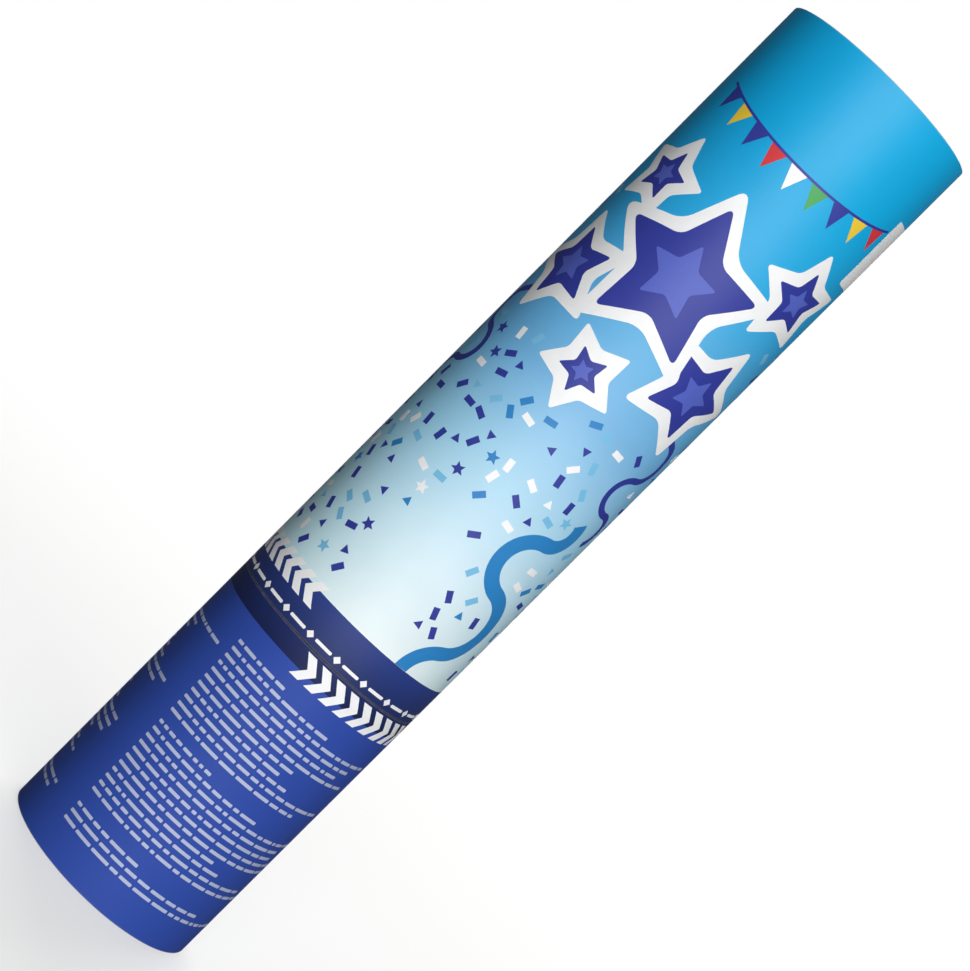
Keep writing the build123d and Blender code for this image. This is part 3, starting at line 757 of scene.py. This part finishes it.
for layer in range(bundles["layers"]):
    turnLayer = Matrix.Rotation(math.radians(90 * layer), 4, "Z")
    for x, y, deep in spots:
        for i in range(bundles["leaves"]):
            tall = layerTall - gap - draw.uniform(0.0, bundles["uneven"])
            leaf = bmesh.new()
            bmesh.ops.create_grid(leaf, x_segments=2, y_segments=5, size=0.5,
                                  matrix=Matrix.Diagonal((bundles["wide"] - 2 * inset, tall, 1, 1)))
            phase, shift = draw.uniform(0, fullTurn), draw.uniform(-shiftShare, shiftShare) * inset
            for v in leaf.verts:
                along = v.co.y * bundles["waveUp"] + v.co.x * bundles["waveAcross"]
                v.co.z = bundles["wave"] * math.sin(phase + along)
            thicken(leaf, bundles["leafThick"])
            leafAt = y - deep / 2 + (i + bundles["leafAtShare"]) * deep / bundles["leaves"]
            upright = (Matrix.Translation((x + shift, leafAt, foot + layer * layerTall + tall / 2))
                       @ Matrix.Rotation(math.radians(90), 4, "X"))
            setShape(slips, leaf, turnLayer @ upright, draw.choice(bundles["tissuePicks"]))
addPiece(slips, "confettiSlips", tissues, "charge", ["confetti_bundles"])

# Closed-cell foam: matt white, full of fine bubbles, which are drawn coarser than real ones. Painted shade
# darkens the sunk edges of the cells.
foam, place = newMaterial("closedCellFoam")
cells = addNode(foam, "TexVoronoi", {"Scale": perMm(0.9)}, {"Vector": place})
# painted shade: darker towards each cell's edge, where the bump sinks
level = addNode(foam, "MapRange", {"From Max": 0.8, "To Min": 1.05, "To Max": 0.88}, {"Value": cells})
tone = addNode(foam, "HueSaturation", {"Color": linearColour("#E6E6E2")}, {"Value": level})
bump = addNode(foam, "Bump", {"Strength": 0.5, "Distance": 0.15 * mm, "invert": True}, {"Height": cells})
skin = addNode(foam, "BsdfPrincipled", {"Roughness": 0.88, "IOR": 1.45, "Specular IOR Level": 0.2},
               {"Base Color": tone, "Normal": bump})
addNode(foam, "OutputMaterial", links={"Surface": skin})

# Foam wad: rounded corners, a slightly waisted side and a faint crown.
wad = {"corner": 0.9, "cornerShare": 0.3, "clear": 0.05, "waist": 0.25, "crown": 0.05, "crownHalf": 0.02,
       "steps": 128, "sharp": 50}
foot, top, reach = nodeSpan("wad_foam")
corner, clear = wad["corner"], wad["clear"]
cut = wad["cornerShare"] * corner
foamDisc = spinProfile([(0, foot), (reach - corner, foot), (reach - cut, foot + cut),
                        (reach - clear, foot + corner), (reach - wad["waist"], (foot + top) / 2),
                        (reach - clear, top - corner), (reach - cut, top - cut),
                        (reach - corner, top - wad["crown"]), (reach / 2, top - wad["crownHalf"]), (0, top)],
                       wad["steps"])
foamWad = addPiece(foamDisc, "foamWad", [foam], "charge", ["wad_foam"], wad["sharp"])

# Card disc under it: two plies with a shallow groove between them, and cut corners.
disc = {"cornerIn": 0.1, "cornerUp": 0.15, "groove": 0.08, "grooveHalf": 0.05, "steps": 128}
foot, top, reach = nodeSpan("wad_card")
middle, lip = (foot + top) / 2, reach - disc["groove"] / 2
cardDisc = spinProfile([(0, foot), (reach - disc["cornerIn"], foot), (reach, foot + disc["cornerUp"]),
                        (lip, middle - disc["grooveHalf"]), (reach - disc["groove"], middle),
                        (lip, middle + disc["grooveHalf"]), (reach, top - disc["cornerUp"]),
                        (reach - disc["cornerIn"], top), (0, top)], disc["steps"])
addPiece(cardDisc, "cardWad", [greyBoard], "charge", ["wad_card"])
print("charge made")

# Moulded marks under the base: a ring, three pin marks and the gate. Heights are from its floor, downwards
# below zero, and each mark starts a little inside the floor.
marks = {"ring": [(15.2, 0.02), (15.35, -0.38), (16.25, -0.38), (16.4, 0.02)], "ringSteps": 96,
         "pin": [(0, 0.02), (2.2, 0.02), (2.2, -0.12), (2.1, -0.15), (1.9, -0.1), (0, -0.1)],
         "gate": [(0, 0.02), (2.4, 0.02), (2.2, -0.15), (1.3, -0.15), (1.04, -0.6), (0, -0.7)],
         "pins": 3, "pinAt": 10.5, "pinTurn": 0.5, "steps": 32}
foot = nodeSpan("base_plug")[0]
base = spinProfile(marks["ring"], marks["ringSteps"], foot)
for i in range(marks["pins"]):
    turned = Matrix.Rotation(fullTurn * i / marks["pins"] + marks["pinTurn"], 4, "Z")
    setShape(base, spinProfile(marks["pin"], marks["steps"]),
             turned @ Matrix.Translation((marks["pinAt"], 0, foot)))
setShape(base, spinProfile(marks["gate"], marks["steps"]), Matrix.Translation((0, 0, foot)))
addPiece(base, "baseMarks", [slotMaterial["black_moulding"]], "handle")
print("base marks made")

# Seamless pale floor, in metres: lit with its shadow near the object and plain white further out. It is dim
# in the light that it sends back, and in reflections, so that the tube's sides stay dark as between flags.
floorSet = {"half": 6.0, "colour": "#F4F4F2", "dimColour": "#3A3A38", "near": 0.16, "far": 0.5,
            "nearShare": 0.45, "mirroredShare": 0.06}
floorMaterial, place = newMaterial("paleFloor")
path = addNode(floorMaterial, "LightPath")
distance = addNode(floorMaterial, "VectorMath", {"operation": "LENGTH"}, {0: place}).outputs["Value"]
white = addNode(floorMaterial, "MapRange", {"interpolation_type": "SMOOTHSTEP", "From Min": floorSet["near"],
                                            "From Max": floorSet["far"], "To Min": floorSet["nearShare"]},
                {"Value": distance})
mirrored = addNode(floorMaterial, "Math", {"operation": "MULTIPLY", 1: floorSet["mirroredShare"]},
                   {0: path.outputs["Is Glossy Ray"]})
seen = addNode(floorMaterial, "Math", {"operation": "MAXIMUM"},
               {0: path.outputs["Is Camera Ray"], 1: mirrored})
seen = addNode(floorMaterial, "Math", {"operation": "MAXIMUM"},
               {0: seen, 1: path.outputs["Is Transmission Ray"]})
matt = addNode(floorMaterial, "BsdfDiffuse", {"Color": linearColour(floorSet["colour"])})
plain = addNode(floorMaterial, "Emission", {"Color": (1, 1, 1, 1), "Strength": 1.0})
lit = addNode(floorMaterial, "MixShader", links={0: white, 1: matt, 2: plain})
dim = addNode(floorMaterial, "BsdfDiffuse", {"Color": linearColour(floorSet["dimColour"])})
mixed = addNode(floorMaterial, "MixShader", links={0: seen, 1: dim, 2: lit})
addNode(floorMaterial, "OutputMaterial", links={"Surface": mixed})
bm = bmesh.new()
bmesh.ops.create_grid(bm, x_segments=1, y_segments=1, size=floorSet["half"])
floorMesh = bpy.data.meshes.new("floor")
bm.to_mesh(floorMesh)
bm.free()
floorMesh.materials.append(floorMaterial)
floor = bpy.data.objects.new("floor", floorMesh)
bpy.context.scene.collection.objects.link(floor)

# White all round to the eye and through glass. Reflections see it white overhead and darker near the horizon.
studio = {"ambient": 0.01, "flagTop": 0.4, "whiteFrom": 0.85, "flagShare": 0.04}
world = bpy.data.worlds.new("studio")
bpy.context.scene.world = world
world.use_nodes = True
world.node_tree.nodes.clear()
path = addNode(world, "LightPath")
way = addNode(world, "SeparateXYZ", links={"Vector": addNode(world, "TexCoord").outputs["Generated"]})
horizon = addNode(world, "MapRange", {"From Min": studio["flagTop"], "From Max": studio["whiteFrom"],
                                      "To Min": studio["flagShare"]}, {"Value": way.outputs["Z"]})
mirrored = addNode(world, "Math", {"operation": "MULTIPLY"}, {0: path.outputs["Is Glossy Ray"], 1: horizon})
seen = addNode(world, "Math", {"operation": "MAXIMUM"}, {0: path.outputs["Is Camera Ray"], 1: mirrored})
seen = addNode(world, "Math", {"operation": "MAXIMUM"}, {0: seen, 1: path.outputs["Is Transmission Ray"]})
ambient = addNode(world, "Background", {"Color": (1, 1, 1, 1), "Strength": studio["ambient"]})
bright = addNode(world, "Background", {"Color": (1, 1, 1, 1), "Strength": 1.0})
around = addNode(world, "MixShader", links={0: seen, 1: ambient, 2: bright})
addNode(world, "OutputWorld", links={"Surface": around})

# Soft boxes, in degrees and metres: azimuth from the front towards the right, elevation, distance and size.
# At a level of 1 a colour that faces the lamp renders as written.
lamps = {
    "keySoftbox": {"azimuth": 13, "elevation": 14, "distance": 1.5, "size": (1.3, 0.8), "level": 1.12},
    "backSoftbox": {"azimuth": 180, "elevation": 36, "distance": 1.6, "size": (1.3, 0.8), "level": 1.0},
    "topSoftbox": {"azimuth": 0, "elevation": 89, "distance": 1.7, "size": (1.4, 1.4), "level": 0.25},
}
aim = Vector((0, 0, (cadBox[0][2] + cadBox[1][2]) / 2))
for name, lamp in lamps.items():
    data = bpy.data.lights.new(name, "AREA")
    data.shape = "RECTANGLE"
    data.size, data.size_y = lamp["size"]
    data.energy = lamp["level"] * (math.pi * lamp["distance"]) ** 2
    azimuth, elevation = math.radians(lamp["azimuth"]), math.radians(lamp["elevation"])
    flat = math.cos(elevation)
    away = Vector((math.sin(azimuth) * flat, -math.cos(azimuth) * flat, math.sin(elevation)))
    box = bpy.data.objects.new(name, data)
    box.location = aim + away * lamp["distance"]
    box.rotation_euler = (-away).to_track_quat("-Z", "Y").to_euler()
    bpy.context.scene.collection.objects.link(box)
print("floor and light made")

# Camera of the photograph, in metres and degrees: nearly level, turned so that the tube stands at a slant.
view = {"place": (0, -0.5477, 0.1585), "pitch": 4.0, "roll": 44.96, "focalPixels": 2518, "imagePixels": 971,
        "sensor": 36.0, "clip": (0.01, 50.0)}
camera = bpy.data.cameras.new("camera")
camera.sensor_width = view["sensor"]
camera.lens = view["focalPixels"] / view["imagePixels"] * view["sensor"]
camera.clip_start, camera.clip_end = view["clip"]
cameraObject = bpy.data.objects.new("camera", camera)
bpy.context.scene.collection.objects.link(cameraObject)
tilt, roll = math.radians(view["pitch"]), math.radians(view["roll"])
levelRight, levelUp = Vector((1, 0, 0)), Vector((0, math.sin(tilt), math.cos(tilt)))
right = levelRight * math.cos(roll) + levelUp * math.sin(roll)
up = levelUp * math.cos(roll) - levelRight * math.sin(roll)
back = right.cross(up)
turned = Matrix((right, up, back)).transposed().to_4x4()
cameraObject.matrix_world = Matrix.Translation(view["place"]) @ turned
bpy.context.scene.camera = cameraObject
bpy.context.scene.view_settings.view_transform = "Standard"
print("camera set")
